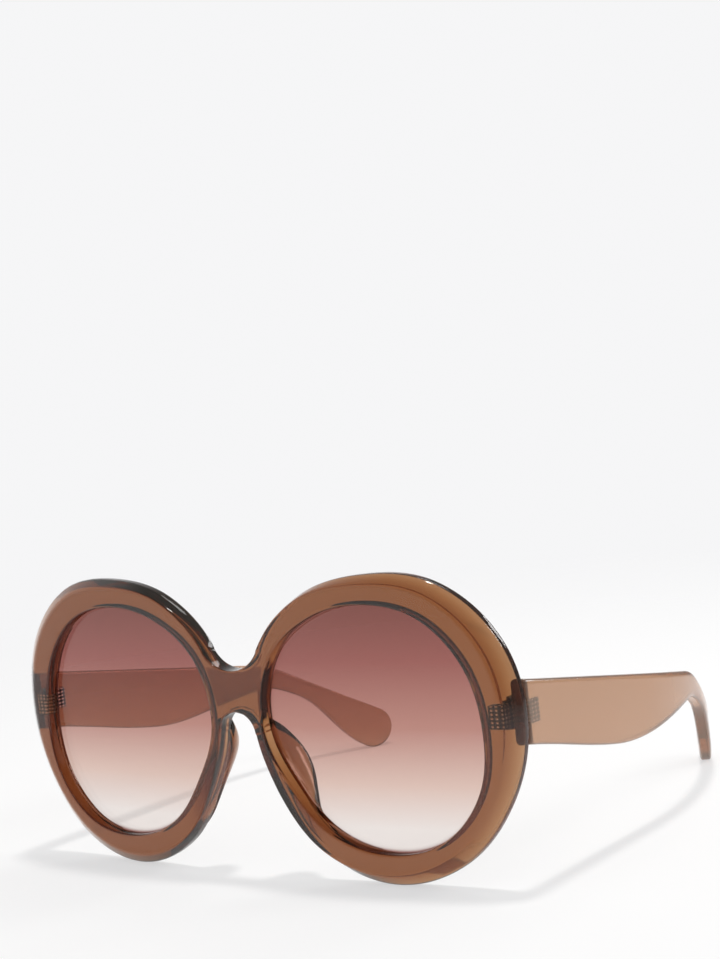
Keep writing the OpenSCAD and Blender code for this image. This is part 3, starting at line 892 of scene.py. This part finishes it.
def clear_plastic(name, skin, tint, density, clear_share):
    """Polished clear plastic. Of each colour exp(-density (1 - tint) depth) is left at a depth in
    metres, the skin tints what enters, and what isn't let through is scattered as a faint haze."""
    material, tree, shader, spot = node_material(name)
    shader.inputs["Transmission Weight"].default_value = clear_share
    shader.inputs["IOR"].default_value = plastic_ior
    rough = map_range(tree, noise(tree, spot, polish_scale), grain_low, grain_high, *polish)
    tree.links.new(rough, shader.inputs["Roughness"])
    clouded = (*[part * cloud_share for part in skin], 1)
    colour = colour_mix(tree, noise(tree, spot, cloud_scale), clouded, (*skin, 1))
    tree.links.new(colour, shader.inputs["Base Color"])
    bump(tree, shader, noise(tree, spot, ripple_scale), ripple_strength, ripple_deep)
    dye = {"Color": (*tint, 1), "Density": density}
    depth = node_with(tree, "ShaderNodeVolumeAbsorption", dye, "Volume")
    tree.links.new(depth, tree.nodes["Material Output"].inputs["Volume"])
    left = [round(float(np.exp(-density * (1 - part) * MM)), 2) for part in tint]
    print(name, "leaves", left, "of red, green and blue after a millimetre")
    return material


front_plastic = clear_plastic(
    "clear brown front plastic", (0.88, 0.8, 0.68), (0.665, 0.37, 0.05), density=650.0, clear_share=0.97)
temple_plastic = clear_plastic(
    "clear brown temple plastic", (0.82, 0.6, 0.46), (0.72, 0.42, 0.05), density=225.0, clear_share=0.72)
front.data.materials.append(front_plastic)
for temple in temples:
    temple.data.materials.append(temple_plastic)

# %% [markdown]
# A gradient lens is dipped in dye and drawn out slowly, so its top takes up most colour and its
# foot stays nearly clear. A colour ramp over the height does the same, with the colours given from
# the foot upward. Toward the ground edge the rim attribute adds painted shade: the real edge only
# looks darker because one looks along the sheet there.

# %% Lens tint and painted edge shade
lens_ior = 1.4
ramp_half = 30.0
# Colour of the painted shade at a lens's ground edge, where the lens only looks darker
painted_edge_shade = (0.25, 0.1, 0.085, 1)
tint_stops = (
    (0.1, (0.85, 0.79, 0.76)), (0.27, (0.72, 0.53, 0.465)), (0.49, (0.485, 0.24, 0.2)),
    (0.75, (0.325, 0.113, 0.098)), (1.0, (0.21, 0.07, 0.056)))


def lens_material():
    """A polished lens whose tint fades from the top to the bottom, with painted shade at its edge."""
    material, tree, shader, spot = node_material("gradient lens")
    shader.inputs["Transmission Weight"].default_value = 1.0
    shader.inputs["IOR"].default_value = lens_ior
    shader.inputs["Roughness"].default_value = 0.0
    up = node_with(tree, "ShaderNodeSeparateXYZ", {"Vector": spot}, "Z")
    height = map_range(tree, up, (lens_z - ramp_half) * MM, (lens_z + ramp_half) * MM, 0, 1)
    ramp = tree.nodes.new("ShaderNodeValToRGB")
    stops = ramp.color_ramp.elements
    while len(stops) < len(tint_stops):
        stops.new(0.5)
    for stop, (where, colour) in zip(stops, tint_stops):
        stop.position = where
        stop.color = (*colour, 1)
    tree.links.new(height, ramp.inputs["Fac"])
    rim = node_with(tree, "ShaderNodeAttribute", {}, "Fac", attribute_name="rim")
    # Painted shade: toward the ground edge the lens colour turns to a dark brown
    tree.links.new(colour_mix(tree, rim, ramp.outputs["Color"], painted_edge_shade), shader.inputs["Base Color"])
    print("lens tint has", len(stops), "colours over", 2 * ramp_half, "mm of height")
    return material


lens_dye_and_edge_shade = lens_material()
for lens in lenses:
    lens.data.materials.append(lens_dye_and_edge_shade)

# %% [markdown]
# The hinges are nickel silver, and their anchors are knurled so that they hold in the plastic.
# Cutting the knurl as faces would take thousands of them, so it is a pattern: two crossed waves
# multiplied give raised dots, which shine, and between them the metal's colour is darkened as
# painted shade in the hollows. The screws have the same finish and painted shade with a much finer
# pattern, which reads as turned steel.

# %% Hinge metal, with painted shade between the knurl's dots
# The second number is the share of the metal's colour left in the painted shade between the dots
knurl_lean, knurl_painted_shade_share = 1.3, 0.12
knurl_strength, knurl_deep, dot_from, dot_to = 0.6, 0.00008, 0.15, 0.45
grain_scale, smooth_share_of_rough, dull_share_of_rough = 2500.0, 0.7, 1.4


def knurled_metal(name, colour, rough, pitch):
    """Metal with raised dots of the height sin(k (x + y + 1.3 z)) * sin(k (1.3 z - x - y)), where
    k is pi divided by the pitch in metres. Between the dots its colour is darkened as painted shade."""
    material, tree, shader, spot = node_material(name)
    shader.inputs["Metallic"].default_value = 1.0
    grain = noise(tree, spot, grain_scale)
    polish = (rough * smooth_share_of_rough, rough * dull_share_of_rough)
    tree.links.new(map_range(tree, grain, grain_low, grain_high, *polish), shader.inputs["Roughness"])
    k = np.pi / pitch
    waves = []
    for lean in (k, -k):
        along = vector_number(tree, "DOT_PRODUCT", spot, (lean, lean, knurl_lean * k))
        waves.append(number(tree, "SINE", along))
    ridge = number(tree, "MULTIPLY", *waves)
    # Painted shade in the hollows between the dots: the metal's colour at a small share
    dark = (*[part * knurl_painted_shade_share for part in colour], 1)
    painted_shade_between_dots = map_range(tree, ridge, dot_from, dot_to, 1.0, 0.0)
    knurl = colour_mix(tree, painted_shade_between_dots, (*colour, 1), dark)
    tree.links.new(knurl, shader.inputs["Base Color"])
    bump(tree, shader, ridge, knurl_strength, knurl_deep)
    return material


hinge_metal = knurled_metal("hinge metal", (0.95, 0.93, 0.94), rough=0.2, pitch=0.0012)
screw_metal = knurled_metal("screw metal", (0.6, 0.6, 0.62), rough=0.25, pitch=0.0003)
for name, node in sorted(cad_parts.items()):
    if "hinge" in name:
        node.data.materials.clear()
        node.data.materials.append(screw_metal if "screw" in name else hinge_metal)
        print(name, "has", node.data.materials[0].name)

# %% [markdown]
# The stage is a pale table. A plain white floor turns grey where less light reaches it, so part of
# what the camera sees of it is its own white, and the rest keeps the object's shadow. It turns
# see-through toward its edge and so runs into the background without a line.

# %% Finish of the floor
fade_from, fade_to, floor_rough = 0.16, 0.5, 0.9
floor_colour, floor_glow, glow_share = (0.96, 0.945, 0.92, 1), (0.975, 0.98, 0.99, 1), 0.6


def any_ray(tree, *rays):
    """1 for a ray of any of these kinds, else 0."""
    path = tree.nodes.new("ShaderNodeLightPath")
    either = path.outputs[rays[0]]
    for ray in rays[1:]:
        either = number(tree, "MAXIMUM", either, path.outputs[ray])
    return either


def floor_material():
    """White that is partly its own light, and fades out with the distance from the middle."""
    material, tree, shader, spot = node_material("floor")
    shader.inputs["Base Color"].default_value = floor_colour
    shader.inputs["Roughness"].default_value = floor_rough
    shader.inputs["Specular IOR Level"].default_value = 0.0
    glow = node_with(tree, "ShaderNodeEmission", {"Color": floor_glow}, "Emission")
    seen = any_ray(tree, "Is Camera Ray", "Is Glossy Ray", "Is Transmission Ray")
    paler = shader_mix(tree, number(tree, "MULTIPLY", seen, glow_share), shader.outputs["BSDF"], glow)
    fade = map_range(tree, vector_number(tree, "LENGTH", spot), fade_from, fade_to, 0, 1)
    clear = node_with(tree, "ShaderNodeBsdfTransparent", {}, "BSDF")
    tree.links.new(shader_mix(tree, fade, paler, clear), tree.nodes["Material Output"].inputs["Surface"])
    return material


floor_finish = floor_material()
print("the floor's own white is", glow_share, "of what is seen of it")

# %% [markdown]
# The floor itself is one round face, wider than the fade, so that its edge is never seen. A plane
# primitive would do too; its square corners would only be wasted.

# %% Floor
floor_r, floor_corners = 1.2, 96


def floor():
    """A round disc at the height on which the rims stand."""
    mesh = bpy.data.meshes.new("floor")
    a = np.linspace(0, 2 * np.pi, floor_corners + 1)[:-1]
    ring = np.stack([np.cos(a), np.sin(a), 0 * a], -1) * floor_r
    mesh.from_pydata(ring.tolist(), [], [list(range(floor_corners))])
    piece = bpy.data.objects.new("floor", mesh)
    bpy.context.scene.collection.objects.link(piece)
    mesh.materials.append(floor_finish)
    return piece


print("stage:", floor().name, 2 * floor_r, "m wide")

# %% [markdown]
# Clear things are shown by what stands round them. In a studio, dark cards above and beside a glass
# draw its edges, and a white one puts a sheen on it. The world does the same: seen through the
# plastic it darkens upward, mirrored in a surface it is white at the left and dark at the right, and
# the camera sees plain white. What it adds to the lamps' light is even from all round.

# %% World
background = (0.92, 0.92, 0.928, 1)
fill_colour, fill_strength = (0.95, 0.95, 0.97, 1), 0.48
through_from, through_to, through_dark = 0.15, 0.42, 0.05
mirror_direction, mirror_from, mirror_to = (1.0, 0.0, 0.4), -0.75, 0.05
mirror_bright, mirror_dark = 1.1, 0.12


def world_light():
    """Even light, and a background whose strength depends on the kind of ray and its direction."""
    world = bpy.data.worlds.new("studio")
    bpy.context.scene.world = world
    world.use_nodes = True
    tree = world.node_tree
    light = tree.nodes["Background"]
    light.inputs["Color"].default_value = fill_colour
    light.inputs["Strength"].default_value = fill_strength
    direction = tree.nodes.new("ShaderNodeTexCoord").outputs["Generated"]
    up = node_with(tree, "ShaderNodeSeparateXYZ", {"Vector": direction}, "Z")
    through = map_range(tree, up, through_from, through_to, 1.0, through_dark, "SMOOTHSTEP")
    aside = vector_number(tree, "DOT_PRODUCT", direction, mirror_direction)
    mirrored = map_range(tree, aside, mirror_from, mirror_to, mirror_bright, mirror_dark, "SMOOTHSTEP")
    last = light.outputs["Background"]
    for ray, level in (("Is Glossy Ray", mirrored), ("Is Transmission Ray", through), ("Is Camera Ray", 1.0)):
        white = {"Color": background, "Strength": level}
        seen = node_with(tree, "ShaderNodeBackground", white, "Background")
        last = shader_mix(tree, any_ray(tree, ray), last, seen)
    tree.links.new(last, tree.nodes["World Output"].inputs["Surface"])
    return world


print("world:", world_light().name)

# %% [markdown]
# Four small soft lamps. The one above lays the shadow under the rims, the two behind lay the
# temples' shadows forward and put shines on the upper edges, and the one at the right lights the
# outside of a temple. They don't shine through the plastic straight into the camera, because that
# would make orange sparks in it.

# %% Lamps
middle = (0, 0, 0.03)
# Name, place, the point looked at, width and height in metres, and watts
lamps = (
    ("lamp above", (0.05, 0.05, 0.95), (0, 0, 0), (0.1, 0.1), 4.0),
    ("lamp high behind", (-0.1, 0.6, 0.8), middle, (0.3, 0.2), 0.6),
    ("lamp low behind", (0.36, 0.8, 0.45), middle, (0.3, 0.22), 1.2),
    ("lamp at the right", (0.75, 0.3, 0.62), middle, (0.16, 0.3), 1.2))


def soft_lamp(name, place, aim, size, watts):
    """A rectangular area lamp, so wide and so high, that looks at a point."""
    data = bpy.data.lights.new(name, "AREA")
    data.shape = "RECTANGLE"
    data.size, data.size_y = size
    data.energy = watts
    lamp = bpy.data.objects.new(name, data)
    bpy.context.scene.collection.objects.link(lamp)
    lamp.location = place
    lamp.visible_camera = False
    lamp.visible_transmission = False
    lamp.rotation_euler = (Vector(aim) - Vector(place)).to_track_quat("-Z", "Y").to_euler()
    return lamp


for settings in lamps:
    print(soft_lamp(*settings).name, settings[-1], "W")

# %% [markdown]
# The camera stands where the photograph was taken from: to the wearer's left, a little above the
# glasses, and slightly rolled. A long lens keeps the lines nearly parallel. Its turn could be given
# as Euler angles, but three axes that are worked out from a direction, a tilt and a roll say better
# what each number does.

# %% Camera
camera_place = (0.307705, -0.429413, 0.127293)
turn_angle, tilt, roll = np.radians([36.101, 4.223, 6.213])
focal_length, sensor_width, near_clip = 100.577, 36.0, 0.02
back = Vector((np.sin(turn_angle) * np.cos(tilt), -np.cos(turn_angle) * np.cos(tilt), np.sin(tilt)))
level_right = Vector((np.cos(turn_angle), np.sin(turn_angle), 0))
upright = back.cross(level_right)
camera_right = level_right * np.cos(roll) - upright * np.sin(roll)
camera_up = level_right * np.sin(roll) + upright * np.cos(roll)
camera_data = bpy.data.cameras.new("camera")
camera_data.sensor_fit = "HORIZONTAL"
camera_data.sensor_width = sensor_width
camera_data.lens = focal_length
camera_data.clip_start = near_clip
camera = bpy.data.objects.new("camera", camera_data)
bpy.context.scene.collection.objects.link(camera)
turn_matrix = Matrix((camera_right, camera_up, back)).transposed()
camera.matrix_world = Matrix.Translation(camera_place) @ turn_matrix.to_4x4()
bpy.context.scene.camera = camera
bpy.context.scene.view_settings.view_transform = "Standard"
print("camera", round(Vector(camera_place).length, 3), "m from the origin, focal length", focal_length, "mm")
